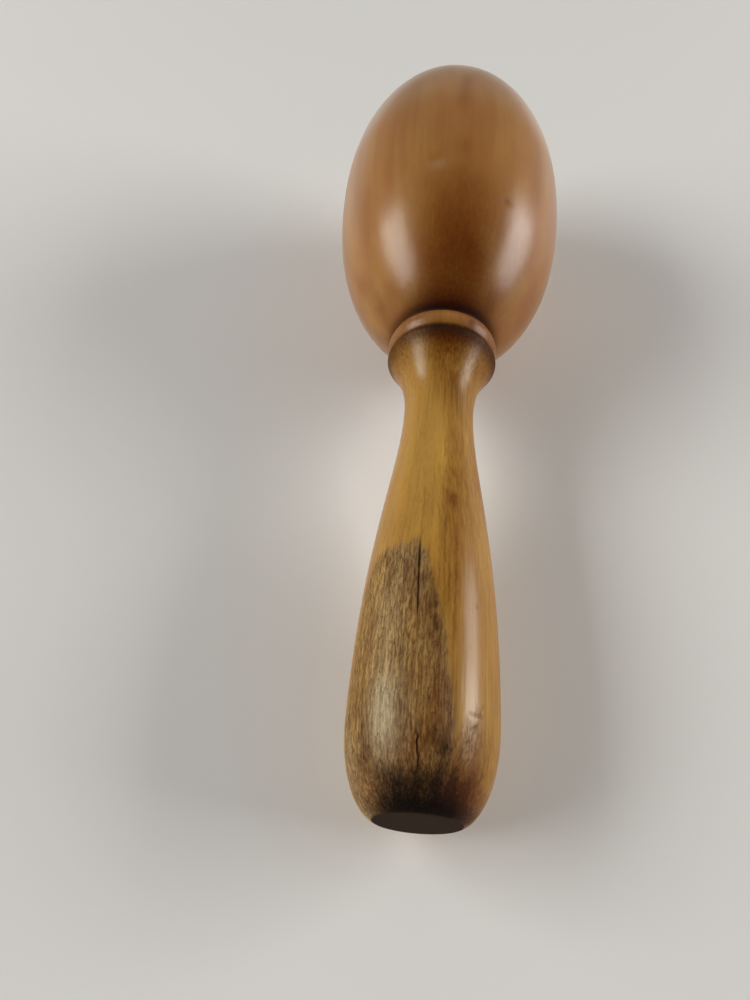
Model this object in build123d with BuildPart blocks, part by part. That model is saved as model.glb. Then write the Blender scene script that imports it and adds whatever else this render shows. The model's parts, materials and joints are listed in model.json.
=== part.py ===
"""A darning egg: a turned wooden egg on a turned wooden handle, lying on a flat surface.

Every piece is a body of revolution about one turning axis. Outlines are drawn as (radius, distance along
the axis), with the distance counted from the flat butt of the handle. The row frame has +Z up, the axis
lies in the YZ plane with the handle towards -Y, and the origin is on the surface the egg lies on, under
the middle of its length. Millimetres.
"""

import os
from math import atan, cos, degrees, sin

from build123d import *

# Handle: a flat butt, a full belly for the palm, a slim neck and a flared rim that meets the head.
butt_radius = 6.3
belly_radius = 11.4
belly_station = 14.0
neck_radius = 6.4
neck_station = 71.8
rim_radius = 10.35
rim_station = 84.3
handle_length = 85.3

# Head: a bead round the mouth of the socket, then the egg.
bead_length = 4.6
bead_height = 1.1
egg_radius = 23.5
egg_widest_station = 131.3
overall_length = 171.7

# The V-groove between the flared rim and the bead shows where the two turnings meet.
joint_radius = 9.4

# Glued joint: a round tenon on the handle in a blind socket in the head.
tenon_radius = 5.0
tenon_length = 24.0
tenon_chamfer = 0.8
glue_thickness = 0.1
glue_depth_at_end = 0.8

# How far each outline's curve leans on its tangent, at the stations named above.
butt_lead = (2.4, 0.8)
belly_lead_in = 8.3
belly_lead_out = 29.6
neck_lead_in = 13.2
neck_lead_out = 7.2
flare_lead_in = (1.7, 2.7)
egg_base_lead = (9.0, 6.9)
egg_lead_in = 22.9
egg_lead_out = 23.3
egg_tip_lead = 13.9

SAMPLES = 400
BISECTIONS = 40


def handle_outline():
    """The handle's skin, from the butt's edge to the groove, as edges in (radius, station)."""
    neck = (neck_radius, neck_station)
    rim = (rim_radius, rim_station)
    belly = (belly_radius, belly_station)
    butt = Bezier(
        (butt_radius, 0),
        (butt_radius + butt_lead[0], butt_lead[1]),
        (belly_radius, belly_station - belly_lead_in),
        belly,
    )
    grip = Bezier(
        belly,
        (belly_radius, belly_station + belly_lead_out),
        (neck_radius, neck_station - neck_lead_in),
        neck,
    )
    flare = Bezier(
        neck,
        (neck_radius, neck_station + neck_lead_out),
        (rim_radius - flare_lead_in[0], rim_station - flare_lead_in[1]),
        rim,
    )
    lip = TangentArc(rim, (joint_radius, handle_length), tangent=flare % 1)
    return [butt, grip, flare, lip]


def head_outline():
    """The head's skin, from the groove to the tip of the egg, as edges in (radius, station)."""
    mouth = (joint_radius, handle_length)
    root = (joint_radius, handle_length + bead_length)
    widest = (egg_radius, egg_widest_station)
    bead = ThreePointArc(mouth, (joint_radius + bead_height, handle_length + bead_length / 2), root)
    base = Bezier(
        root,
        (root[0] + egg_base_lead[0], root[1] + egg_base_lead[1]),
        (egg_radius, egg_widest_station - egg_lead_in),
        widest,
    )
    nose = Bezier(
        widest,
        (egg_radius, egg_widest_station + egg_lead_out),
        (egg_tip_lead, overall_length),
        (0, overall_length),
    )
    return [bead, base, nose]


def samples(edges):
    """Points along the edges, as (radius, station)."""
    return [edge @ (i / SAMPLES) for edge in edges for i in range(SAMPLES + 1)]


def lowest(points, tilt):
    """Height of the lowest of the points when the axis rises by the tilt, above the butt's centre."""
    return min(p.Y * sin(tilt) - p.X * cos(tilt) for p in points)


def resting_tilt(handle_points, head_points):
    """The rise of the axis, in radians, at which the handle and the head touch the surface together."""
    low, high = 0.0, 2 * atan((egg_radius - belly_radius) / (egg_widest_station - belly_station))
    for _ in range(BISECTIONS):
        middle = (low + high) / 2
        if lowest(head_points, middle) < lowest(handle_points, middle):
            low = middle
        else:
            high = middle
    return (low + high) / 2


# How the egg lies: the tilt comes from the two outlines, and the origin from the length they cover.
with BuildLine(mode=Mode.PRIVATE):
    handle_points = samples(handle_outline())
    head_points = samples(head_outline())
tilt = resting_tilt(handle_points, head_points)
reach = [p.Y * cos(tilt) + side * p.X * sin(tilt) for p in handle_points + head_points for side in (-1, 1)]
butt_centre = (0, -(min(reach) + max(reach)) / 2, -lowest(handle_points, tilt))
turning_axis = Axis(butt_centre, (0, cos(tilt), sin(tilt)))
outline_plane = Plane(origin=butt_centre, x_dir=(1, 0, 0), z_dir=(0, -sin(tilt), cos(tilt)))

socket_radius = tenon_radius + glue_thickness
tenon_end = handle_length + tenon_length
socket_end = tenon_end + glue_depth_at_end

# Handle with its tenon.
with BuildPart() as handle:
    with BuildSketch(outline_plane):
        with BuildLine():
            add(handle_outline())
            Polyline(
                (joint_radius, handle_length),
                (tenon_radius, handle_length),
                (tenon_radius, tenon_end - tenon_chamfer),
                (tenon_radius - tenon_chamfer, tenon_end),
                (0, tenon_end),
                (0, 0),
                (butt_radius, 0),
            )
        make_face()
    revolve(axis=turning_axis)

# Egg-shaped head with its bead and the blind socket.
with BuildPart() as egg_head:
    with BuildSketch(outline_plane):
        with BuildLine():
            add(head_outline())
            Polyline(
                (0, overall_length),
                (0, socket_end),
                (socket_radius, socket_end),
                (socket_radius, handle_length),
                (joint_radius, handle_length),
            )
        make_face()
    revolve(axis=turning_axis)

# Film of glue that fills the socket round and past the tenon.
with BuildPart() as glue_film:
    with BuildSketch(outline_plane):
        with BuildLine():
            Polyline(
                (tenon_radius, handle_length),
                (socket_radius, handle_length),
                (socket_radius, socket_end),
                (0, socket_end),
                (0, tenon_end),
                (tenon_radius - tenon_chamfer, tenon_end),
                (tenon_radius, tenon_end - tenon_chamfer),
                close=True,
            )
        make_face()
    revolve(axis=turning_axis)

handle.part.label = "handle"
egg_head.part.label = "egg_head"
glue_film.part.label = "glue_film"

os.makedirs("parts", exist_ok=True)
for piece in (handle, egg_head, glue_film):
    export_step(piece.part, f"parts/{piece.part.label}.step")

print("tilt", round(degrees(tilt), 4), "butt centre", [round(v, 4) for v in butt_centre])
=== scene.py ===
"""Looks of the darning egg: the two wooden turnings with their wear and painted light and shade, a pale
floor, studio light and a camera.

Every mark is placed on the turning by its station, in millimetres from the butt along the turning axis, and
its angle round the axis, in degrees from the top, positive towards +X.
"""

import json
import math
from types import SimpleNamespace

import bpy
import numpy as np
from mathutils import Matrix, Vector


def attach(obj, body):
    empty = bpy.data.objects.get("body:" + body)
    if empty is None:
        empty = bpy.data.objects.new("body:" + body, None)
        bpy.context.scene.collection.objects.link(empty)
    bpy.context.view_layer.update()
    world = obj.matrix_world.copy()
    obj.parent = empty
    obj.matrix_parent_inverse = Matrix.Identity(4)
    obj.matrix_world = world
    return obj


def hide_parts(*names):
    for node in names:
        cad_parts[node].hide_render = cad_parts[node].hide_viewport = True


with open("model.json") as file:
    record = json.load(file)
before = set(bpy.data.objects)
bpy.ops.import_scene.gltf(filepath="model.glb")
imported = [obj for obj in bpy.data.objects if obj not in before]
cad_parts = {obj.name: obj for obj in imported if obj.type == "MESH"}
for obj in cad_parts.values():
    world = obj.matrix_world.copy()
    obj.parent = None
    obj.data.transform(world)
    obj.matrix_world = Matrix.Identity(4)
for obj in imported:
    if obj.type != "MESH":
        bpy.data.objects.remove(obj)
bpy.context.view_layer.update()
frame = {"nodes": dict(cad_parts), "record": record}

MM = 0.001
TURN = 2 * math.pi

# ---------------------------------------------------------------------------------------------------------
# Outlines of the turnings, in millimetres
# ---------------------------------------------------------------------------------------------------------

BUTT_RADIUS = 6.3
BELLY_RADIUS = 11.4
BELLY_STATION = 14.0
NECK_RADIUS = 6.4
NECK_STATION = 71.8
RIM_RADIUS = 10.35
RIM_STATION = 84.3
HANDLE_LENGTH = 85.3
JOINT_RADIUS = 9.4
BEAD_LENGTH = 4.6
BEAD_HEIGHT = 1.1
EGG_RADIUS = 23.5
EGG_WIDEST_STATION = 131.3
OVERALL_LENGTH = 171.7
TENON_RADIUS = 5.0
TENON_LENGTH = 24.0
TENON_CHAMFER = 0.8
GLUE_THICKNESS = 0.1
GLUE_DEPTH_AT_END = 0.8

TENON_END = HANDLE_LENGTH + TENON_LENGTH
SOCKET_RADIUS = TENON_RADIUS + GLUE_THICKNESS
SOCKET_END = TENON_END + GLUE_DEPTH_AT_END
BEAD_ROOT = HANDLE_LENGTH + BEAD_LENGTH

# How far each outline's curve leans on its tangent, at the stations named above.
BUTT_LEAD = (2.4, 0.8)
BELLY_LEAD_IN = 8.3
BELLY_LEAD_OUT = 29.6
NECK_LEAD_IN = 13.2
NECK_LEAD_OUT = 7.2
FLARE_LEAD_IN = (1.7, 2.7)
EGG_BASE_LEAD = (9.0, 6.9)
EGG_LEAD_IN = 22.9
EGG_LEAD_OUT = 23.3
EGG_TIP_LEAD = 13.9

# A point on the curve of the rim's lip, between the rim and the joint.
LIP_MIDDLE = (RIM_RADIUS + 0.03, RIM_STATION + 0.5)

# Radius of the ring round the point that closes each end of a turning.
BUTT_RING = 0.3
TENON_RING = 0.5
SOCKET_RING = 0.5
TIP_RING = 0.4

# Gaps between the rows of points, for each run of the outlines.
GAPS = SimpleNamespace(
    flat=0.35, butt=0.32, grip=0.45, flare=0.32, lip=0.15, bead=0.2, base=0.42, nose=0.5,
    hidden_face=2.0, hidden_wall=5.0, chamfer=1.2)

RUBBED_AWAY = 0.035  # wood gone from the whole skin, in millimetres
FINE = 400  # points along each curve before the rows are spaced out evenly


def bezier(start, leaving, arriving, end):
    """A cubic curve in (radius, station)."""
    t = np.linspace(0, 1, FINE)[:, None]
    start, leaving, arriving, end = (np.array(p, float) for p in (start, leaving, arriving, end))
    first_half = (1 - t) ** 3 * start + 3 * (1 - t) ** 2 * t * leaving
    return first_half + 3 * (1 - t) * t ** 2 * arriving + t ** 3 * end


def arc(start, middle, end):
    """A circular arc through three points in (radius, station)."""
    start, middle, end = (np.array(p, float) for p in (start, middle, end))
    system = 2 * np.array([middle - start, end - start])
    centre = np.linalg.solve(system, [middle @ middle - start @ start, end @ end - start @ start])
    turns = [math.atan2(*(p - centre)[::-1]) for p in (start, middle, end)]
    first, last = turns[0], turns[2]
    if not min(first, last) <= turns[1] <= max(first, last):
        last += TURN if last < first else -TURN
    t = np.linspace(first, last, FINE)
    return centre + np.linalg.norm(start - centre) * np.stack([np.cos(t), np.sin(t)], axis=1)


def straight(start, end):
    """A straight run in (radius, station)."""
    return np.linspace(start, end, FINE)


def spaced(curve, gap):
    """The curve with its points an even gap apart, in millimetres."""
    along = np.concatenate([[0], np.cumsum(np.linalg.norm(np.diff(curve, axis=0), axis=1))])
    marks = np.linspace(0, along[-1], max(2, round(along[-1] / gap) + 1))
    return np.stack([np.interp(marks, along, curve[:, i]) for i in (0, 1)], axis=1)


def chained(*runs):
    """Runs of (curve, gap) joined end to end, each meeting point once."""
    rows = [spaced(curve, gap) for curve, gap in runs]
    return np.concatenate([rows[0]] + [r[1:] for r in rows[1:]])


def handle_rows():
    """The handle's outline from the middle of the butt, over the skin, to the middle of the tenon's end.

    Returns the rows and how many of them are the skin, the butt's flat included."""
    edge = (BUTT_RADIUS, 0)
    belly = (BELLY_RADIUS, BELLY_STATION)
    neck = (NECK_RADIUS, NECK_STATION)
    rim = (RIM_RADIUS, RIM_STATION)
    joint = (JOINT_RADIUS, HANDLE_LENGTH)
    butt_lead = (BUTT_RADIUS + BUTT_LEAD[0], BUTT_LEAD[1])
    flare_lead = (RIM_RADIUS - FLARE_LEAD_IN[0], RIM_STATION - FLARE_LEAD_IN[1])
    butt = bezier(edge, butt_lead, (BELLY_RADIUS, BELLY_STATION - BELLY_LEAD_IN), belly)
    grip_leads = (BELLY_RADIUS, BELLY_STATION + BELLY_LEAD_OUT), (NECK_RADIUS, NECK_STATION - NECK_LEAD_IN)
    grip = bezier(belly, *grip_leads, neck)
    flare = bezier(neck, (NECK_RADIUS, NECK_STATION + NECK_LEAD_OUT), flare_lead, rim)
    flat = straight((BUTT_RING, 0), edge)
    lip = arc(rim, LIP_MIDDLE, joint)
    skin = chained(
        (flat, GAPS.flat), (butt, GAPS.butt), (grip, GAPS.grip), (flare, GAPS.flare), (lip, GAPS.lip))

    shoulder = (TENON_RADIUS, HANDLE_LENGTH)
    chamfer_start = (TENON_RADIUS, TENON_END - TENON_CHAMFER)
    chamfer_end = (TENON_RADIUS - TENON_CHAMFER, TENON_END)
    hidden = chained(
        (straight(joint, shoulder), GAPS.hidden_face),
        (straight(shoulder, chamfer_start), GAPS.hidden_wall),
        (straight(chamfer_start, chamfer_end), GAPS.chamfer),
        (straight(chamfer_end, (TENON_RING, TENON_END)), GAPS.hidden_face),
    )
    return np.concatenate([skin, hidden[1:]]), len(skin)


def head_rows():
    """The head's outline from the middle of the socket's end, out over the skin, to the tip of the egg.

    Returns the rows and how many of them, counted from the tip, are the skin."""
    mouth = (JOINT_RADIUS, HANDLE_LENGTH)
    root = (JOINT_RADIUS, BEAD_ROOT)
    widest = (EGG_RADIUS, EGG_WIDEST_STATION)
    inner_corner = (SOCKET_RADIUS, SOCKET_END)
    outer_corner = (SOCKET_RADIUS, HANDLE_LENGTH)
    hidden = chained(
        (straight((SOCKET_RING, SOCKET_END), inner_corner), GAPS.hidden_face),
        (straight(inner_corner, outer_corner), GAPS.hidden_wall),
        (straight(outer_corner, mouth), GAPS.hidden_face),
    )
    bead = arc(mouth, (JOINT_RADIUS + BEAD_HEIGHT, HANDLE_LENGTH + BEAD_LENGTH / 2), root)
    base_lead = (JOINT_RADIUS + EGG_BASE_LEAD[0], BEAD_ROOT + EGG_BASE_LEAD[1])
    base = bezier(root, base_lead, (EGG_RADIUS, EGG_WIDEST_STATION - EGG_LEAD_IN), widest)
    nose_leads = (EGG_RADIUS, EGG_WIDEST_STATION + EGG_LEAD_OUT), (EGG_TIP_LEAD, OVERALL_LENGTH)
    nose = bezier(widest, *nose_leads, (TIP_RING, OVERALL_LENGTH))
    skin = chained((bead, GAPS.bead), (base, GAPS.base), (nose, GAPS.nose))
    return np.concatenate([hidden, skin[1:]]), len(skin)


# ---------------------------------------------------------------------------------------------------------
# Where the turning lies: the butt's flat gives its place and the axis it faces away from
# ---------------------------------------------------------------------------------------------------------

BUTT_FACE = next(m for m in frame["record"]["mounts"] if m["name"] == "butt_face")
BUTT_CENTRE = np.array(BUTT_FACE["pos_m"])
ALONG = -np.array(BUTT_FACE["axis"])
ALONG /= np.linalg.norm(ALONG)
ACROSS = np.array([1.0, 0.0, 0.0])
UPWARD = np.cross(ACROSS, ALONG)


def placed(across, station, upward):
    """Points of the turning, in millimetres, in the row frame in metres."""
    place = across[..., None] * ACROSS + station[..., None] * ALONG + upward[..., None] * UPWARD
    return BUTT_CENTRE + MM * place


# ---------------------------------------------------------------------------------------------------------
# Soft shapes drawn on a turning's skin
# ---------------------------------------------------------------------------------------------------------

def smooth_step(value, low, high):
    """0 below low, 1 above high and a smooth rise between them."""
    t = np.clip((value - low) / (high - low), 0, 1)
    return t * t * (3 - 2 * t)


def smooth_fall(value, low, high):
    """1 below low, 0 above high and a smooth fall between them."""
    return 1 - smooth_step(value, low, high)


def turned_from(angle, centre):
    """Signed angle from the centre angle, in degrees, the short way round."""
    return (angle - centre + 180) % 360 - 180


class Skin:
    """The stations, angles and radii of a turning's skin, and soft shapes drawn on it.

    The columns are crowded towards the top of the turning, where most of the wear is."""

    def __init__(self, rows, columns, crowding, seed):
        turns = np.linspace(-math.pi, math.pi, columns, endpoint=False)
        turns -= crowding * np.sin(turns)
        self.rows = rows
        self.radius, self.angle = np.meshgrid(rows[:, 0], np.degrees(turns), indexing="ij")
        self.station = np.broadcast_to(rows[:, 1][:, None], self.radius.shape)
        self.random = np.random.default_rng(seed)

    def spot(self, station, angle, long, wide):
        """A soft spot that fades to about a third at so many millimetres along and across from its centre."""
        s = (self.station - station) / long
        a = np.radians(turned_from(self.angle, angle)) * self.radius / wide
        return np.exp(-s ** 2 - a ** 2)

    def spots(self, *marks):
        """The sum of soft spots, each given as its amount, station, angle, reach along and reach across."""
        return sum(amount * self.spot(*place) for amount, *place in marks)

    def band(self, low, high, soft):
        """A band round the turning between two stations, with soft edges."""
        rising = smooth_step(self.station, low - soft, low + soft)
        return rising * smooth_fall(self.station, high - soft, high + soft)

    def sector(self, low, high, soft):
        """A strip along the turning between two angles, with soft edges."""
        middle, half = (low + high) / 2, (high - low) / 2
        return smooth_fall(np.abs(turned_from(self.angle, middle)), half - soft, half + soft)

    def line(self, points, wide, waver=0.0):
        """A thin line through (station, angle) points, faded at both ends.

        It is so many millimetres wide to each side and wavers by so many degrees."""
        stations, angles = np.array(points, float).T
        centre = np.interp(self.station, stations, angles)
        centre = centre + waver * (np.sin(self.station * 2.3) + np.sin(self.station * 5.1 + 1))
        off = np.radians(turned_from(self.angle, centre)) * self.radius / wide
        fade = (stations[-1] - stations[0]) / 6
        return np.exp(-off ** 2) * self.band(stations[0] + fade, stations[-1] - fade, fade)

    def lines(self, *marks):
        """Thin lines, each given as its amount, points, half width and waver, one field for each."""
        return [amount * self.line(*course) for amount, *course in marks]

    def scratch(self, start, end, wide):
        """A straight scratch between two (station, angle) points, in any direction, with its half width."""
        scale = np.interp((start[0] + end[0]) / 2, self.rows[:, 1], self.rows[:, 0])
        run = np.array([end[0] - start[0], math.radians(end[1] - start[1]) * scale])
        length = np.linalg.norm(run)
        s = self.station - start[0]
        a = np.radians(turned_from(self.angle, start[1])) * scale
        along = (s * run[0] + a * run[1]) / length
        off = (s * run[1] - a * run[0]) / length / wide
        faded = smooth_step(along, 0, length / 4) * smooth_fall(along, 3 * length / 4, length)
        return np.exp(-off ** 2) * faded

    def scratches(self, *marks):
        """The sum of straight scratches, each given as its amount, start, end and half width."""
        return sum(amount * self.scratch(*course) for amount, *course in marks)

    def noise(self, long, wide):
        """Smooth noise from 0 to 1 with cells of the given length and width in millimetres."""
        circumference = TURN * self.rows[:, 0].max()
        cells = max(3, round(circumference / wide))
        low, high = self.rows[:, 1].min(), self.rows[:, 1].max()
        table = self.random.random((int((high - low) / long) + 3, cells))
        s = (self.station - low) / long
        a = (self.angle % 360) / 360 * cells
        i, j = np.floor(s).astype(int), np.floor(a).astype(int)
        u, v = s - i, a - j
        u, v = u * u * (3 - 2 * u), v * v * (3 - 2 * v)
        j, k = j % cells, (j + 1) % cells
        near = table[i, j] * (1 - v) + table[i, k] * v
        far = table[i + 1, j] * (1 - v) + table[i + 1, k] * v
        return near * (1 - u) + far * u


# ---------------------------------------------------------------------------------------------------------
# Wear of the handle, with painted light and shade
# ---------------------------------------------------------------------------------------------------------

# The bare patch: rounded at its top, wide at the butt, its right edge leaning outwards towards the butt.
# Each edge is its stations and the angles there.
PATCH_RIGHT_EDGE = ([0, 6, 14, 22, 30, 36, 40], [40, 22, 18, 12.5, 4, -4, -12])
PATCH_LEFT_EDGE = ([0, 10, 25, 34, 38, 40], [-92, -84, -77, -71, -59, -46])
PATCH_TOP = (36.8, 41.2)  # stations between which the patch fades out
PATCH_RIM = 38.0  # station of the mildewed rim of its top

ON_BUTT = 0.01  # how near to the butt's flat counts as on it, in millimetres

LONG_CRACK = [(23.0, -10.5), (29, -11.5), (33, -12.3), (42, -13.5)]
SHORT_CRACK = [(3.4, -4), (6, -5), (11.5, -8)]


def handle_worn(skin, ragged):
    """Where the handle is bare, and the half-rubbed place right of the bare patch."""
    s = skin.station
    right_of_left_edge = turned_from(skin.angle, 0) - np.interp(s, *PATCH_LEFT_EDGE)
    left_of_right_edge = np.interp(s, *PATCH_RIGHT_EDGE) - skin.angle
    inside = smooth_step(right_of_left_edge, -10, 12) * smooth_step(left_of_right_edge, -5, 5)
    worn = inside * smooth_fall(s + 1.8 * ragged, *PATCH_TOP)
    worn *= np.clip(0.85 + 0.6 * (skin.noise(9, 3) - 0.4), 0.5, 1)
    # A second, smaller worn place underneath, where the handle rests on the palm.
    worn = np.maximum(worn, 0.75 * skin.spot(16, 172, 13, 7) * (0.6 + 0.8 * skin.noise(6, 2)))
    rubbed = skin.sector(17, 47, 9) * smooth_fall(s + 1.5 * ragged, 9.5, 14)
    return np.maximum(worn, 0.47 * rubbed), rubbed


def handle_strip(skin):
    """The orange-brown strip right of the middle, with thin darker lines in it."""
    strip = 0.1 * skin.sector(6, 38, 9) * skin.band(14, 74, 6)
    return strip + sum(skin.lines(
        (0.09, [(12, 18), (26, 16), (38, 14), (50, 15), (66, 18), (78, 14)], 1.3),
        (0.05, [(30, 21), (44, 23), (56, 24), (70, 22)], 1.6),
        (0.19, [(20, 17), (32, 18), (46, 20)], 0.3, 0.4),
        (0.14, [(24, 13), (40, 12)], 0.25, 0.4),
        (0.17, [(22, 9), (36, 8), (50, 9)], 0.3, 0.4),
        (0.14, [(28, 5), (48, 4)], 0.3, 0.4),
    ))


def handle_brown_tones_and_shade(skin, ragged):
    """The broad brown tones: darker towards the rim, darker on the rim's lip with painted shade there, darker
    towards the butt, and painted shade down the right side.
    """
    s = skin.station
    shades = 0.24 * skin.sector(-14, 34, 14) * smooth_step(s, 65, 78)
    # Darker towards the rim's lip: old varnish gathered there and painted shade of the groove, more at the
    # top and on the right of the flare.
    shades += (0.12 + 0.38 * skin.sector(-16, 25, 18)) * smooth_step(s, 78, 84)
    shades += 0.12 * skin.sector(30, 110, 20) * smooth_step(s, 77, 83)
    shades += 0.3 * smooth_step(s, 81.5, 84.4)
    shades += 0.34 * skin.sector(-64, 76, 24) * smooth_fall(s, 0, 11)
    shades += 0.28 * skin.sector(14, 50, 12) * smooth_fall(s + 1.5 * ragged, 2, 11)
    # Painted shade down the right side of the handle.
    shades += 0.09 * skin.sector(40, 120, 14) * skin.band(-2, 70, 8)
    shades += 0.08 * (skin.noise(22, 2.5) - 0.3) * skin.band(14, 84, 4)
    # More painted shade down the right side, low on the handle.
    shades += 0.07 * skin.sector(38, 80, 8) * skin.band(8, 34, 4)
    shades += 0.03 * skin.sector(42, 110, 12) * skin.band(3, 20, 5)
    # Painted shade down the right side of the neck and flare.
    right_side = 0.08 * smooth_step(s, 48, 58) + 0.13 * smooth_step(s, 64, 73)
    return shades + skin.sector(38, 96, 14) * right_side


def handle_brown(skin, ragged, rubbed):
    """Where the handle is painted browner: varnish gone brown and stains, with painted shade on the rim's lip
    and down its right side.
    """
    stains = skin.spots(
        (0.14, 73, 18, 6, 2.4), (0.2, 48.2, 19, 1.7, 1.2), (0.1, 54, 20, 1.5, 0.9), (0.07, 53, 33, 2.4, 1.2),
        (0.12, 82, -66, 2, 5), (0.1, 11, 1, 5, 2.6), (0.26, 9.2, 1, 2.4, 1.5), (0.02, 12, 50, 4, 4),
        (0.18, 11.5, 14, 4, 1.4), (0.2, 1.6, 54, 2.6, 3.8), (0.1, 17, 0, 3, 1.8), (0.14, 15, 8, 5, 2.2),
        (0.04, 9, 50, 3, 3), (0.2, 3, 120, 6, 6), (0.07, 42.5, -42, 3.5, 3), (0.06, 18, -52, 4, 1.6),
        (0.1, 19, -9, 4.5, 1.6), (0.05, 34, -21, 3, 1.2), (0.09, 13, -61, 3, 1.8), (0.08, 79, -62, 4, 4),
        (0.09, 48, 2, 5, 1.5), (0.08, 48, 30, 4, 1.5), (0.04, 65, 1, 4, 1.5), (-0.06, 58, 11, 7, 2.2),
        (0.12, 8, -14, 4, 2), (0.06, 80, 2, 4, 6),
    )
    brown = handle_strip(skin) + handle_brown_tones_and_shade(skin, ragged) + stains + 0.08 * rubbed
    at_butt = 0.1 * skin.sector(16, 62, 16) * smooth_fall(skin.station, 0.5, 6.5)
    return np.clip(brown, 0, 1) + at_butt


def handle_mildew(skin, ragged, worn):
    """The mildewed places of the bare patch."""
    mildew = skin.spots(
        (0.1, 8.2, -50, 2.2, 1.5), (0.06, 8, -46, 4.5, 1.4), (0.06, 13.5, -20, 4, 1.0),
        (0.2, 6, -55, 1.4, 1.6), (0.2, 4.6, -36, 1.2, 2.4), (0.08, 12, -19, 4, 0.9),
        (0.18, 12, -50, 3.5, 1.2), (0.1, 22, -22, 4, 1.0), (0.24, 31, -19, 4, 1.5),
        (0.26, 28, -3, 4.5, 1.4), (0.2, 34, -6, 2.4, 1.0), (0.16, 35.6, -33, 2.0, 2.0),
        (0.16, 33, -40, 1.8, 0.9), (0.14, 26, -52, 4, 1.2), (0.1, 24, 1, 3, 1.4),
    )
    mildew += 0.16 * skin.line([(7, 15), (15, 12), (20, 8), (27, 2), (35, -6)], 1.5)
    mildew += 0.08 * worn * np.exp(-((skin.station + 1.8 * ragged - PATCH_RIM) / 1.6) ** 2)
    return mildew * (0.4 + 1.2 * skin.noise(1.3, 0.5))


def handle_black(skin, ragged):
    """Grime and old varnish on the rim's lip with painted shade of the groove, more painted shade on its
    right, grime at the butt, and some dark spots.
    """
    s = skin.station
    # The lip: grime and old varnish, and painted shade of the groove.
    lip = (0.2 + 0.25 * skin.sector(-24, 28, 18)) * smooth_step(s, RIM_STATION - 2.4, RIM_STATION + 0.4)
    # Painted shade on the right of the lip.
    lip += 0.08 * skin.sector(32, 92, 16) * smooth_step(s, 82.2, 84.2)
    lip += 0.3 * smooth_step(s, RIM_STATION - 0.2, RIM_STATION + 0.8)
    butt = 0.6 * skin.sector(-36, 34, 20) * smooth_fall(s + 2.0 * ragged, 1.8, 6.2)
    butt += 0.5 * skin.sector(-58, 80, 26) * smooth_fall(s + 1.0 * ragged, 0.2, 2.6)
    dark_spots = skin.spots(
        (0.16, 3.2, -22, 1.6, 2.0), (0.15, 4.2, 2, 1.3, 1.5), (0.2, 3.6, 4, 1.8, 2.0),
        (0.45, 7.6, 14.5, 0.9, 0.7), (0.16, 8.6, 8, 1.6, 1.6), (0.14, 5.6, 13, 1.5, 1.6),
        (0.3, 22.6, -6, 0.35, 0.3), (0.2, 36, -14, 1.8, 0.5), (0.5, 62, 168, 1.0, 0.7),
    )
    return lip + butt + dark_spots + 0.3 * skin.spot(9, 150, 4, 2.5) * skin.noise(2, 0.8)


def handle_cracks(skin):
    """The drying cracks: two at the top, three finer ones beside them and one underneath."""
    cracks = np.maximum.reduce(skin.lines(
        (1.0, LONG_CRACK, 0.13, 0.1),
        (0.9, SHORT_CRACK, 0.12, 0.3),
        (0.12, [(39, -13.5), (52, -13)], 0.13, 0.1),
        (0.3, [(11, -15), (27, -17)], 0.10, 0.3),
        (0.3, [(13, -21), (24, -22)], 0.10, 0.4),
        (0.8, [(3, 141), (10, 139), (19, 140)], 0.13, 0.3),
    ))
    return cracks * (0.6 + 0.4 * skin.noise(1.1, 3))


def handle_scuffs(skin):
    """Scuffs right of the bare patch, a nick above them and two scratches out of sight."""
    scuffs = skin.scratches(
        (1.0, (12.9, 28), (12.9, 45), 0.17), (0.6, (10.6, 31), (12.0, 41), 0.15),
        (0.5, (9.6, 36), (8.8, 28), 0.14), (0.6, (13.0, 40), (15.0, 44), 0.13),
    )
    scuffs += skin.spots((0.5, 13.6, 38, 0.7, 0.5), (0.4, 11.2, 37, 0.5, 0.6))
    scuffs *= 0.3 + 1.1 * skin.noise(0.7, 0.6)
    scuffs += 0.5 * skin.spot(29.4, 38, 0.35, 0.3)
    return scuffs + skin.scratches((1.0, (52, -128), (56, -120), 0.12), (1.0, (30, 118), (34, 127), 0.10))


def handle_pale_and_sheen(skin):
    """Where the handle is painted paler: a painted sheen of the left window on the bare patch, painted
    highlights of the windows on the right and on both sides of the flare, a painted reflection of the room
    down the upper left, a paler place low on the left, and some uneven tone; the varnish shines more there.
    """
    # Painted sheen and highlights, and a painted reflection down the upper left.
    pale = skin.spots(
        (1.0, 11.5, -33, 5.5, 2.4), (0.12, 24, -36, 9, 2.6), (0.2, 6, -68, 5, 2.5), (0.45, 58, -9, 18, 1.2),
        (0.45, 58, -24, 18, 3.5), (0.35, 17, 21, 7, 1.6), (0.75, 16, 31, 4.5, 2.4),
        (0.35, 13.5, 39, 2.5, 1.6),
    )
    pale += 0.12 * skin.noise(14, 3) * (skin.station > ON_BUTT)
    # Painted highlights of the windows on both sides of the flare.
    pale += (0.8 * skin.sector(16, 50, 8) + 0.6 * skin.sector(-58, -30, 8)) * skin.band(77, 83, 2)
    return np.clip(pale, 0, 1)


def handle_depth(skin, worn, cracks, scuffs):
    """How deep the handle's skin is cut, in millimetres."""
    depth = 0.3 * cracks + 0.07 * scuffs + 0.05 * smooth_step(worn, 0.3, 0.8)
    depth += 0.05 * worn * skin.noise(5, 0.5)
    depth += 0.03 * np.abs(turned_from(skin.angle, 0)) / 180 * skin.noise(9, 4)
    return depth + skin.spots((0.12, 52, 100, 1.2, 1.0), (0.10, 36, -115, 0.9, 1.3))


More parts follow.
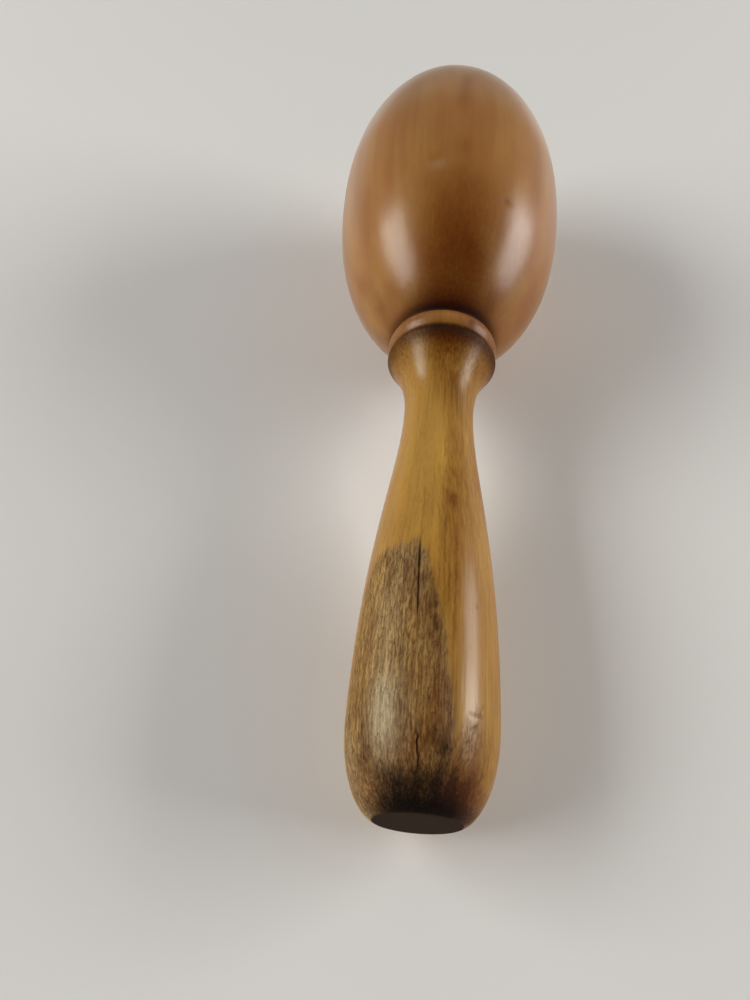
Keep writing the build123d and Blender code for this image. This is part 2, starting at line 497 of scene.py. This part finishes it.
def handle_wear(skin):
    """The worn, brown, black, pale and end-grain parts of the handle, painted shade and sheen among them, and
    how deep it is cut.
    """
    ragged = skin.noise(5, 1.2) - 0.5
    worn, rubbed = handle_worn(skin, ragged)
    brown = handle_brown(skin, ragged, rubbed)
    mildew = handle_mildew(skin, ragged, worn)
    black = handle_black(skin, ragged)
    cracks = handle_cracks(skin)
    scuffs = handle_scuffs(skin)
    brown = np.clip(brown + 0.7 * mildew, 0, 1)
    brown = np.clip(brown + 0.6 * cracks + 0.3 * scuffs, 0, 1)
    black = np.clip(black + 0.5 * mildew + 0.45 * cracks + 0.18 * scuffs, 0, 1)
    pale = handle_pale_and_sheen(skin)
    depth = handle_depth(skin, worn, cracks, scuffs)
    end = (skin.station < ON_BUTT) & (skin.radius < BUTT_RADIUS + ON_BUTT)
    fields = {"worn": worn, "brown": brown, "black": black, "pale": pale, "end": end.astype(float)}
    return fields, depth * ~end


# ---------------------------------------------------------------------------------------------------------
# Wear of the head, with painted light and shade
# ---------------------------------------------------------------------------------------------------------

DENT = (116.6, -11)
NICK = (110, 27)
BLACK_DENT = (140, 130)
LEFT_SCRATCH = ((120, -130), (131, -124))
TIP_SCRATCH = ((150, 60), (156, 75))
# Where a painted shadow of the rim widens onto the bead.
BEAD_RIM_SHADOW = (86.9, 28)


def head_brown(skin, on_bead):
    """The reddish-brown along the top, deepest over the bead, partly varnish gone brown and partly painted
    shade, the dark collar round the cove, partly dark varnish and partly painted shade, and painted shade
    down the right side.
    """
    s = skin.station
    # The spots here and the band below darken the top between the window highlights: partly varnish gone
    # brown, partly painted shade and a painted dark reflection of someone standing over the egg.
    brown = skin.spots(
        (0.5, 97, 6, 12, 7.5), (0.06, 91, 8, 4, 6), (0.08, 111, 9, 4, 5), (0.07, 98, 14, 2.4, 2.5),
        (0.06, 121, 3, 2.5, 2),
    )
    brown += 0.05 * skin.sector(-30, 36, 26) * skin.band(104, 136, 8)
    # Painted shade in the recess of the cove above the bead, over dark varnish gathered there.
    brown += (0.1 + 0.3 * skin.sector(-30, 40, 24)) * smooth_fall(s, 88.5, 95)
    # Painted shade down the right side of the egg.
    brown += 0.06 * skin.sector(48, 110, 12) * skin.band(88, 142, 8)
    brown += 0.08 * skin.sector(38, 110, 12) * skin.band(92, 108, 6)
    brown *= 1 - on_bead
    brown += 0.12 * skin.line([(129, 1), (137, 1.5), (142, 2.5), (152, 4)], 1.6)
    brown += skin.spots(
        (0.05, 136, 26, 7, 3), (0.04, 134, -22, 8, 5), (0.1, 94, -64, 1.8, 3), (0.06, 99, -72, 2, 3),
    )
    brown += 0.08 * (skin.noise(25, 6) - 0.2) * (1 - on_bead)
    brown += 0.16 * skin.spot(126, 178, 14, 7) * skin.noise(6, 3)
    bead = 0.12 + 0.16 * skin.sector(20, 130, 14) + 0.06 * skin.sector(-130, -24, 14)
    # A painted shadow of the rim falls on the bead's right.
    brown = np.clip(brown + on_bead * (bead + 0.25 * skin.spot(*BEAD_RIM_SHADOW, 0.8, 0.7)), 0, 1)
    # Painted shade in the corner where the bead meets the egg.
    return np.clip(brown + 0.25 * np.exp(-((s - BEAD_ROOT - 0.1) / 1.0) ** 2), 0, 1)


def head_black(skin, on_bead):
    """Grime with painted shade in the joint's groove and in the corner and cove behind the bead, a painted
    shadow of the rim on the bead, and grime in the head's small marks.
    """
    s = skin.station
    # Darker in the joint's groove: grime there and painted shade.
    joint = smooth_fall(s, HANDLE_LENGTH + 0.1, HANDLE_LENGTH + 0.9)
    black = (0.4 + 0.3 * skin.sector(-26, 36, 20)) * joint
    # Painted shade in the corner at the bead's root and in the cove above it.
    black += (0.18 + 0.22 * skin.sector(-50, 58, 30)) * np.exp(-((s - BEAD_ROOT - 0.1) / 0.7) ** 2)
    black += 0.16 * skin.sector(-34, 38, 24) * smooth_fall(s, 89.5, 93) * (1 - on_bead)
    black += skin.spots((0.12, *NICK, 0.6, 0.9), (0.05, *BEAD_RIM_SHADOW, 0.7, 0.6), (0.4, *BLACK_DENT, 0.7, 0.6))
    black += skin.scratches((0.2, *LEFT_SCRATCH, 0.16), (0.2, *TIP_SCRATCH, 0.14))
    return np.clip(black, 0, 1)


def head_depth(skin):
    """How deep the head's skin is cut, in millimetres: dents, nicks, scratches and a slight unevenness."""
    across_dent = np.radians(turned_from(skin.angle, DENT[1])) * skin.radius
    from_dent = np.hypot(skin.station - DENT[0], across_dent)
    depth = 0.03 * np.exp(-((from_dent - 1.3) / 0.6) ** 2)
    depth += skin.spots(
        (0.3, *DENT, 1.3, 1.3), (0.08, *NICK, 0.8, 1.2), (0.10, 88.2, -61, 0.5, 0.8),
        (0.14, *BLACK_DENT, 1.1, 0.9), (0.12, 127, -170, 1.2, 1.6),
    )
    depth += skin.scratches((0.06, *LEFT_SCRATCH, 0.2), (0.05, *TIP_SCRATCH, 0.2))
    return depth + 0.035 * skin.noise(14, 9) * smooth_step(skin.station, BEAD_ROOT, BEAD_ROOT + 8)


def head_wear(skin):
    """The worn, brown, black and pale parts of the head, painted shade and reflections among them, and how
    deep it is cut.
    """
    s = skin.station
    on_bead = smooth_fall(s, BEAD_ROOT - 0.9, BEAD_ROOT - 0.3)
    crown = np.exp(-((s - HANDLE_LENGTH - 2.5) / 1.75) ** 4) * on_bead
    brown = head_brown(skin, on_bead)
    black = head_black(skin, on_bead)
    worn = 0.35 * crown + skin.spots((0.3, 116, -10.5, 2.4, 2.6), (0.2, OVERALL_LENGTH, 0, 7, 60))
    # The crown of the bead is lighter from rubbing; the pale spot on the dent is a painted reflection over a
    # little wear.
    pale = 0.25 * crown + 1.0 * skin.spot(115.8, -10, 2.2, 2.4) + 0.2 * skin.noise(30, 8)
    # The far end of the egg is painted paler, a painted reflection of the bright room.
    pale += 0.7 * smooth_step(s, 130, 144)
    fields = {"worn": np.clip(worn, 0, 1), "brown": brown, "black": black, "pale": np.clip(pale, 0, 1)}
    fields["end"] = np.zeros_like(worn)
    return fields, head_depth(skin)


# ---------------------------------------------------------------------------------------------------------
# Meshes
# ---------------------------------------------------------------------------------------------------------

HANDLE_GRID = SimpleNamespace(columns=356, crowding=0.45, seed=41)
HEAD_GRID = SimpleNamespace(columns=360, crowding=0.35, seed=73)


def carved(rows, grid, wear, on_skin):
    """Grids of radius, station and angle for a turning, its skin carved by its wear, and the fields."""
    skin = Skin(rows, grid.columns, grid.crowding, grid.seed)
    fields, depth = wear(skin)
    lean = np.gradient(rows, axis=0)
    lean /= np.linalg.norm(lean, axis=1)[:, None]
    outward = np.stack([lean[:, 1], -lean[:, 0]], axis=1)
    depth = (depth + RUBBED_AWAY) * on_skin[:, None]
    radius = skin.radius - depth * outward[:, 0][:, None]
    station = skin.station - depth * outward[:, 1][:, None]
    return radius, station, skin.angle, fields


def closing_faces(ids, first_end, last_end):
    """Triangles from the first and last rings of points to the points that close the two ends."""
    beside = np.roll(ids, -1, axis=1)
    first = [(first_end, b, a) for a, b in zip(ids[0], beside[0])]
    last = [(last_end, a, b) for a, b in zip(ids[-1], beside[-1])]
    return first + last


def turned_mesh(name, radius, station, angle, fields):
    """A closed mesh of the rows, with a point on the axis at each end and the fields of wear and painted
    light and shade on its points.
    """
    rows, columns = radius.shape
    turn = np.radians(angle)
    across, upward = radius * np.sin(turn), radius * np.cos(turn)
    across = np.concatenate([across.ravel(), [0, 0]])
    upward = np.concatenate([upward.ravel(), [0, 0]])
    along = np.concatenate([station.ravel(), station[[0, -1]].mean(axis=1)])
    ids = np.arange(rows * columns).reshape(rows, columns)
    beside = np.roll(ids, -1, axis=1)
    quads = np.stack([ids[:-1], beside[:-1], beside[1:], ids[1:]], axis=-1).reshape(-1, 4)
    faces = quads.tolist() + closing_faces(ids, rows * columns, rows * columns + 1)
    mesh = bpy.data.meshes.new(name)
    mesh.from_pydata(placed(across, along, upward).tolist(), [], faces)
    turning = mesh.attributes.new("turning", "FLOAT_VECTOR", "POINT")
    turning.data.foreach_set("vector", np.stack([across, along, upward], axis=1).ravel())
    for field, values in fields.items():
        end_values = [values[0].mean(), values[-1].mean()]
        values = np.concatenate([values.ravel(), end_values])
        mesh.attributes.new(field, "FLOAT", "POINT").data.foreach_set("value", values)
    mesh.shade_smooth()
    mesh.validate()
    piece = bpy.data.objects.new(name, mesh)
    bpy.context.scene.collection.objects.link(piece)
    return piece


def make_handle():
    """The handle: butt, belly, neck, flared rim and the tenon hidden in the head."""
    rows, skin_count = handle_rows()
    on_skin = (np.arange(len(rows)) < skin_count - 1).astype(float)
    piece = turned_mesh("turned_handle", *carved(rows, HANDLE_GRID, handle_wear, on_skin))
    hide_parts("handle")
    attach(piece, "root")
    return piece


def make_head():
    """The egg with its bead and the blind socket inside it."""
    rows, skin_count = head_rows()
    on_skin = (np.arange(len(rows)) > len(rows) - skin_count).astype(float)
    piece = turned_mesh("turned_egg", *carved(rows, HEAD_GRID, head_wear, on_skin))
    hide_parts("egg_head")
    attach(piece, "root")
    return piece


# ---------------------------------------------------------------------------------------------------------
# Materials
# ---------------------------------------------------------------------------------------------------------

def colour(red, green, blue):
    """A colour from its red, green and blue, as display values from 0 to 255."""
    return tuple(((c / 255 + 0.055) / 1.055) ** 2.4 for c in (red, green, blue)) + (1.0,)


HANDLE_COLOURS = SimpleNamespace(
    light=colour(200, 154, 66), middle=colour(180, 130, 50), deep=colour(148, 91, 30),
    umber=colour(94, 44, 6), bare_light=colour(193, 151, 80), bare_dark=colour(97, 60, 21))
HEAD_COLOURS = SimpleNamespace(
    light=colour(179, 127, 54), middle=colour(164, 103, 34), deep=colour(140, 78, 22),
    umber=colour(84, 28, 2), bare_light=colour(176, 108, 48), bare_dark=colour(146, 80, 30))
# Paler colours taken where the pale field is high: the bead's rubbed crown, and painted sheen and
# reflections.
PALE_WOOD_AND_SHEEN = colour(218, 202, 162)
RUBBED_SHINE_AND_SHEEN = colour(206, 188, 148)
# Colour of the black layer: grime, and painted shade in grooves and corners.
DIRT_AND_SHADE = colour(20, 9, 4)
END_LIGHT = colour(70, 49, 31)
END_DARK = colour(49, 34, 20)
GLUE_DARK = colour(96, 60, 24)
GLUE_LIGHT = colour(150, 104, 52)
FLOOR_DARK = colour(228, 226, 222)
FLOOR_LIGHT = colour(234, 232, 228)

VARNISH_IOR = 1.5
WOOD_SPECULAR = 0.1
DARKEST = 0.1  # what is left of the light under a dark layer of amount 1


class Graph:
    """A material's nodes, with short ways to add and join them."""

    def __init__(self, name):
        self.material = bpy.data.materials.new(name)
        self.material.use_nodes = True
        self.nodes = self.material.node_tree.nodes
        self.links = self.material.node_tree.links
        self.shader = self.nodes["Principled BSDF"]

    def feed(self, socket, value):
        """Joins a value to a socket: another node's output, or a plain number or colour."""
        if isinstance(value, bpy.types.NodeSocket):
            self.links.new(value, socket)
        else:
            socket.default_value = value

    def field(self, name):
        """One of the fields of wear and painted light and shade on the mesh's points."""
        node = self.nodes.new("ShaderNodeAttribute")
        node.attribute_name = name
        return node.outputs["Fac"]

    def place(self):
        """The place on the object, in metres."""
        return self.nodes.new("ShaderNodeTexCoord").outputs["Object"]

    def turning(self, across, along, upward):
        """The place on the turning in millimetres, stretched by a factor each way."""
        place = self.nodes.new("ShaderNodeAttribute")
        place.attribute_name = "turning"
        node = self.nodes.new("ShaderNodeVectorMath")
        node.operation = "MULTIPLY"
        self.feed(node.inputs[0], place.outputs["Vector"])
        node.inputs[1].default_value = (across, along, upward)
        return node.outputs["Vector"]

    def noise(self, place, scale, detail, roughness=0.55):
        """Noise at a place, with so many cells to a unit."""
        node = self.nodes.new("ShaderNodeTexNoise")
        self.feed(node.inputs["Vector"], place)
        node.inputs["Scale"].default_value = scale
        node.inputs["Detail"].default_value = detail
        node.inputs["Roughness"].default_value = roughness
        return node.outputs["Fac"]

    def rings(self, place, scale, distortion):
        """Growth rings cut lengthwise, as a wavering saw-toothed wave from 0 to 1."""
        node = self.nodes.new("ShaderNodeTexWave")
        node.wave_type = "BANDS"
        node.bands_direction = "DIAGONAL"
        node.wave_profile = "SAW"
        self.feed(node.inputs["Vector"], place)
        node.inputs["Scale"].default_value = scale
        node.inputs["Distortion"].default_value = distortion
        node.inputs["Detail"].default_value = 2.0
        node.inputs["Detail Scale"].default_value = 1.5
        return node.outputs["Fac"]

    def math(self, operation, a, b, clamp=False):
        """Arithmetic on two values."""
        node = self.nodes.new("ShaderNodeMath")
        node.operation = operation
        node.use_clamp = clamp
        self.feed(node.inputs[0], a)
        self.feed(node.inputs[1], b)
        return node.outputs["Value"]

    def product(self, first, *others):
        """The product of two or more values."""
        for other in others:
            first = self.math("MULTIPLY", first, other)
        return first

    def rise(self, value, low, high, start=0.0, end=1.0):
        """A smooth rise from start to end as the value goes from low to high."""
        node = self.nodes.new("ShaderNodeMapRange")
        node.interpolation_type = "SMOOTHSTEP"
        self.feed(node.inputs["Value"], value)
        for socket, number in (("From Min", low), ("From Max", high), ("To Min", start), ("To Max", end)):
            node.inputs[socket].default_value = number
        return node.outputs["Result"]

    def deepening(self, amount):
        """The share of a dark colour at which even steps of the amount look even to the eye."""
        left = self.math("POWER", DARKEST, amount)
        return self.math("DIVIDE", self.math("SUBTRACT", 1.0, left), 1.0 - DARKEST, clamp=True)

    def mix(self, share, a, b):
        """Colour a turning into colour b as the share goes from 0 to 1."""
        node = self.nodes.new("ShaderNodeMix")
        node.data_type = "RGBA"
        self.feed(node.inputs["Factor"], share)
        self.feed(node.inputs["A"], a)
        self.feed(node.inputs["B"], b)
        return node.outputs["Result"]

    def layered(self, surface, *layers):
        """The surface under layers, each a value, where it begins and ends to show, its most, its colour."""
        for value, low, high, most, layer_colour in layers:
            surface = self.mix(self.rise(value, low, high, 0.0, most), surface, layer_colour)
        return surface

    def bump(self, height, distance, strength):
        """A bump of the given depth in metres."""
        node = self.nodes.new("ShaderNodeBump")
        node.inputs["Strength"].default_value = strength
        node.inputs["Distance"].default_value = distance
        self.feed(node.inputs["Height"], height)
        return node.outputs["Normal"]


def wood_patterns(graph, grain):
    """The wood's patterns, from 0 to 1. A larger grain is finer."""
    return SimpleNamespace(
        streaks=graph.noise(graph.turning(1.0, 0.035, 1.0), 0.28 * grain, 3.0),
        threads=graph.noise(graph.turning(1.0, 0.03, 1.0), 2.4 * grain, 4.0, 0.65),
        fibres=graph.noise(graph.turning(1.0, 0.15, 1.0), 3.6 * grain, 3.0, 0.6),
        mottle=graph.noise(graph.turning(1.0, 0.25, 1.0), 3.2, 5.0, 0.72),
        pores=graph.noise(graph.turning(1.0, 0.11, 1.0), 4.4 * grain, 1.0),
        cloud=graph.noise(graph.turning(1.0, 0.5, 1.0), 0.11, 3.0),
        specks=graph.noise(graph.turning(1.0, 0.4, 1.0), 2.4, 3.0, 0.7),
        ripple=graph.noise(graph.turning(1.0, 0.35, 1.0), 0.35, 2.0),
        rings=graph.rings(graph.turning(1.0, 0.02, 0.55), 0.11 * grain, 3.2),
    )


def varnished_wood(graph, pattern, colours, figure):
    """The wood's colour through clean varnish. A larger figure shows more of the grain."""
    surface = graph.layered(
        colours.light,
        (pattern.streaks, 0.3, 0.7, 1.0, colours.middle),
        (pattern.rings, 0.45, 1.0, 0.25 * figure, colours.deep),
        (pattern.threads, 0.45, 0.75, 0.5 * figure, colours.deep),
        (pattern.cloud, 0.4, 0.65, 0.5, colours.middle),
        (pattern.mottle, 0.5, 0.75, 0.25 * figure, colours.deep),
        (pattern.pores, 0.66, 0.76, 0.3 * figure, colours.umber),
    )
    # On pale places the varnished wood is painted lighter: painted highlights and reflections, and the bead's
    # rubbed crown.
    return graph.mix(graph.product(graph.field("pale"), 0.45), surface, colours.light)


def bare_wood(graph, pattern, colours):
    """The colour of wood whose varnish has worn away."""
    # Where the pale field is high the bare wood turns paler: a painted sheen on the handle's patch and the
    # rubbed crown of the bead.
    surface = graph.layered(
        graph.mix(graph.field("pale"), colours.bare_light, PALE_WOOD_AND_SHEEN),
        (pattern.threads, 0.38, 0.66, 0.6, colours.bare_dark),
        (pattern.mottle, 0.44, 0.64, 0.6, colours.bare_dark),
        (pattern.fibres, 0.48, 0.6, 0.64, colours.bare_dark),
        (pattern.streaks, 0.45, 0.6, 0.2, colours.bare_dark),
    )
    # More painted sheen on pale places.
    return graph.mix(graph.product(graph.field("pale"), 0.35), surface, RUBBED_SHINE_AND_SHEEN)


def browned_share(graph, pattern, figure):
    """How much of the wood's colour turns brown: varnish gone brown and stains, and painted shade."""
    uneven = graph.rise(pattern.threads, 0.3, 0.65, 1.0 - 0.3 * figure, 1.0 + 0.3 * figure)
    return graph.deepening(graph.product(graph.field("brown"), uneven))


def worn_share(graph, pattern):
    """How bare the wood is, with the edge of each worn place broken up."""
    broken = graph.math("ADD", graph.field("worn"), graph.rise(pattern.mottle, 0.3, 0.7, -0.22, 0.22))
    return graph.rise(broken, 0.1, 0.95)


def speckled_share(graph, pattern, worn):
    """Dark specks in the bare wood, gathered along its streaks."""
    gathered = graph.rise(pattern.streaks, 0.38, 0.62, 0.2, 1.2)
    return graph.product(graph.rise(pattern.specks, 0.54, 0.68), gathered, worn)


def dirt_share(graph, pattern, speckled):
    """How much black covers the wood: grime, mildew and cracks, and painted shade in grooves, corners and on
    shaded sides.
    """
    broken = graph.product(graph.field("black"), graph.rise(pattern.mottle, 0.3, 0.7, 0.75, 1.25))
    return graph.deepening(graph.math("ADD", broken, graph.product(speckled, 0.26)))


def end_grain(graph):
    """The colour of the sawn end of the wood."""
    cells = graph.noise(graph.turning(1.0, 0.0, 1.0), 3.5, 4.0, 0.7)
    return graph.mix(graph.rise(cells, 0.35, 0.65), END_LIGHT, END_DARK)


def wood_roughness(graph, worn, dirt):
    """How rough the wood under the varnish is."""
    clean = graph.rise(worn, 0.0, 1.0, 0.36, 0.46)
    roughness = graph.math("ADD", clean, graph.rise(dirt, 0.0, 1.0, 0.0, 0.3))
    return graph.math("MAXIMUM", roughness, graph.product(graph.field("end"), 0.85))


def varnish_coat(graph, pattern, shares, figure, gloss):
    """The varnish's weight: gone from bare and end-grain wood, dull where the wood is black or brown, and
    strong on pale places.
    """
    unvarnished = graph.math("MAXIMUM", shares.worn, graph.field("end"))
    return graph.product(
        graph.math("SUBTRACT", 1.0, unvarnished),
        graph.rise(shares.dirt, 0.0, 0.6, gloss, 0.0),
        graph.rise(shares.browned, 0.0, 0.8, 1.0, 0.2),
        graph.rise(pattern.threads, 0.35, 0.65, 1.0 - 0.3 * figure, 1.0),
        graph.rise(graph.field("pale"), 0.2, 1.0, 1.0, 1.6),
    )


def wood_relief(graph, pattern, shares):
    """The height of the wood's surface, rougher where it is bare, with its specks sunk in."""
    fibres = graph.product(pattern.fibres, graph.rise(shares.worn, 0.0, 1.0, 0.12, 1.0))
    mottle = graph.product(pattern.mottle, graph.rise(shares.worn, 0.0, 1.0, 0.1, 1.2))
    return graph.math("SUBTRACT", graph.math("ADD", fibres, mottle), graph.product(shares.speckled, 0.8))


def old_wood(name, colours, grain, figure, gloss, gloss_roughness):
    """Varnished wood with streaks, growth rings, brown places, bare worn wood and black grime, with painted
    shade and sheen carried in the same fields.
    """
    graph = Graph(name)
    pattern = wood_patterns(graph, grain)
    shares = SimpleNamespace(browned=browned_share(graph, pattern, figure), worn=worn_share(graph, pattern))
    shares.speckled = speckled_share(graph, pattern, shares.worn)
    shares.dirt = dirt_share(graph, pattern, shares.speckled)

    varnished = graph.mix(shares.browned, varnished_wood(graph, pattern, colours, figure), colours.umber)
    bare = graph.mix(shares.browned, bare_wood(graph, pattern, colours), colours.umber)
    surface = graph.mix(shares.dirt, graph.mix(shares.worn, varnished, bare), DIRT_AND_SHADE)
    surface = graph.mix(graph.field("end"), surface, end_grain(graph))
    coat_relief = graph.math("ADD", pattern.ripple, graph.product(pattern.threads, 0.5 * figure))

    inputs = graph.shader.inputs
    graph.feed(inputs["Base Color"], surface)
    graph.feed(inputs["Roughness"], wood_roughness(graph, shares.worn, shares.dirt))
    graph.feed(inputs["Coat Weight"], varnish_coat(graph, pattern, shares, figure, gloss))
    graph.feed(inputs["Normal"], graph.bump(wood_relief(graph, pattern, shares), 0.08 * MM, 0.6))
    graph.feed(inputs["Coat Normal"], graph.bump(coat_relief, 0.15 * MM, 0.3))
    inputs["Coat Roughness"].default_value = gloss_roughness
    inputs["Coat IOR"].default_value = VARNISH_IOR
    inputs["Specular IOR Level"].default_value = WOOD_SPECULAR
    return graph.material


def dried_glue():
    """Old brown glue with small bubbles."""
    graph = Graph("dried_glue")
    bubbles = graph.noise(graph.place(), 2500.0, 2.0)
    graph.feed(graph.shader.inputs["Base Color"], graph.mix(bubbles, GLUE_DARK, GLUE_LIGHT))
    graph.feed(graph.shader.inputs["Roughness"], graph.rise(bubbles, 0.3, 0.7, 0.3, 0.55))
    graph.feed(graph.shader.inputs["Normal"], graph.bump(bubbles, 0.02 * MM, 0.5))
    return graph.material


def pale_floor():
    """A plain pale floor with the faintest unevenness."""
    graph = Graph("pale_floor")
    unevenness = graph.noise(graph.place(), 4.0, 2.0)
    graph.feed(graph.shader.inputs["Base Color"], graph.mix(unevenness, FLOOR_DARK, FLOOR_LIGHT))
    graph.shader.inputs["Roughness"].default_value = 0.85
    graph.shader.inputs["Specular IOR Level"].default_value = 0.2
    return graph.material


# ---------------------------------------------------------------------------------------------------------
# Floor, lights and camera, in metres and degrees, with the lens and its sensor in millimetres
# ---------------------------------------------------------------------------------------------------------

FLOOR_REACH = 4.0
FLOOR_GAP = 0.0002

ROOM_TINT = (0.98, 0.99, 1.0, 1.0)
ROOM_DIM_WAY = (0.05, -0.6, 0.8)
ROOM_BRIGHT, ROOM_DIM = 0.26, 0.02
ROOM_DIMS_FROM, ROOM_DIMS_TO = 0.3, 0.85  # cosines of the angle to the dim way

CAMERA_PLACE = (-0.0063, -0.1222, 0.1249)
CAMERA_PITCH = -50.77
CAMERA_HEADING = 2.48
CAMERA_ROLL = 2.74
CAMERA_CLIP = (0.01, 50)
LENS = 29.5
SENSOR = 36.0


def make_floor():
    """A wide flat floor just under the egg."""
    sides = ((-1, -1), (1, -1), (1, 1), (-1, 1))
    corners = [(x * FLOOR_REACH, y * FLOOR_REACH, -FLOOR_GAP) for x, y in sides]
    mesh = bpy.data.meshes.new("floor")
    mesh.from_pydata(corners, [], [(0, 1, 2, 3)])
    floor = bpy.data.objects.new("floor", mesh)
    bpy.context.scene.collection.objects.link(floor)
    floor.data.materials.append(pale_floor())


def make_window(name, heading, height, distance, width, tall, power, tint):
    """A soft rectangular light, placed by its heading from +Y towards +X and its height, both in degrees."""
    lamp = bpy.data.lights.new(name, "AREA")
    lamp.shape = "RECTANGLE"
    lamp.size, lamp.size_y = width, tall
    lamp.energy = power
    lamp.color = tint
    light = bpy.data.objects.new(name, lamp)
    flat, turn = math.cos(math.radians(height)), math.radians(heading)
    way = Vector((flat * math.sin(turn), flat * math.cos(turn), math.sin(math.radians(height))))
    light.location = way * distance
    light.rotation_euler = way.to_track_quat("Z", "Y").to_euler()
    bpy.context.scene.collection.objects.link(light)


def make_room_light():
    """Even light from the room, dimmer round the way where someone stands over the egg."""
    world = bpy.data.worlds.new("room")
    world.use_nodes = True
    nodes, links = world.node_tree.nodes, world.node_tree.links
    way = nodes.new("ShaderNodeTexCoord")
    nearness = nodes.new("ShaderNodeVectorMath")
    nearness.operation = "DOT_PRODUCT"
    nearness.inputs[1].default_value = Vector(ROOM_DIM_WAY).normalized()
    links.new(way.outputs["Generated"], nearness.inputs[0])
    strength = nodes.new("ShaderNodeMapRange")
    strength.interpolation_type = "SMOOTHSTEP"
    links.new(nearness.outputs["Value"], strength.inputs["Value"])
    strength.inputs["From Min"].default_value = ROOM_DIMS_FROM
    strength.inputs["From Max"].default_value = ROOM_DIMS_TO
    strength.inputs["To Min"].default_value = ROOM_BRIGHT
    strength.inputs["To Max"].default_value = ROOM_DIM
    background = nodes["Background"]
    background.inputs["Color"].default_value = ROOM_TINT
    links.new(strength.outputs["Result"], background.inputs["Strength"])
    bpy.context.scene.world = world


def make_camera():
    """A phone-like camera close above the butt, looking along the handle to the head."""
    data = bpy.data.cameras.new("camera")
    data.lens = LENS
    data.sensor_fit = "VERTICAL"
    data.sensor_height = SENSOR
    data.clip_start, data.clip_end = CAMERA_CLIP
    camera = bpy.data.objects.new("camera", data)
    heading = Matrix.Rotation(math.radians(CAMERA_HEADING), 4, "Z")
    pitch = Matrix.Rotation(math.radians(90 + CAMERA_PITCH), 4, "X")
    roll = Matrix.Rotation(math.radians(CAMERA_ROLL), 4, "Z")
    camera.matrix_world = Matrix.Translation(CAMERA_PLACE) @ (heading @ pitch) @ roll
    bpy.context.scene.collection.objects.link(camera)
    bpy.context.scene.camera = camera


make_camera()
make_floor()
make_room_light()
make_window(
    "left_window", heading=-94, height=33, distance=1.2, width=1.05, tall=0.52, power=11.0,
    tint=(1.0, 0.99, 0.97))
make_window(
    "right_window", heading=81, height=21, distance=1.2, width=1.0, tall=0.5, power=12.8,
    tint=(1.0, 0.98, 0.95))

handle = make_handle()
handle.data.materials.append(old_wood(
    "handle_wood", HANDLE_COLOURS, grain=1.0, figure=1.0, gloss=0.56, gloss_roughness=0.2))
head = make_head()
head.data.materials.append(old_wood(
    "head_wood", HEAD_COLOURS, grain=0.75, figure=0.35, gloss=0.94, gloss_roughness=0.29))
film = frame["nodes"]["glue_film"]
film.data.materials.clear()
film.data.materials.append(dried_glue())

bpy.context.scene.view_settings.view_transform = "Standard"
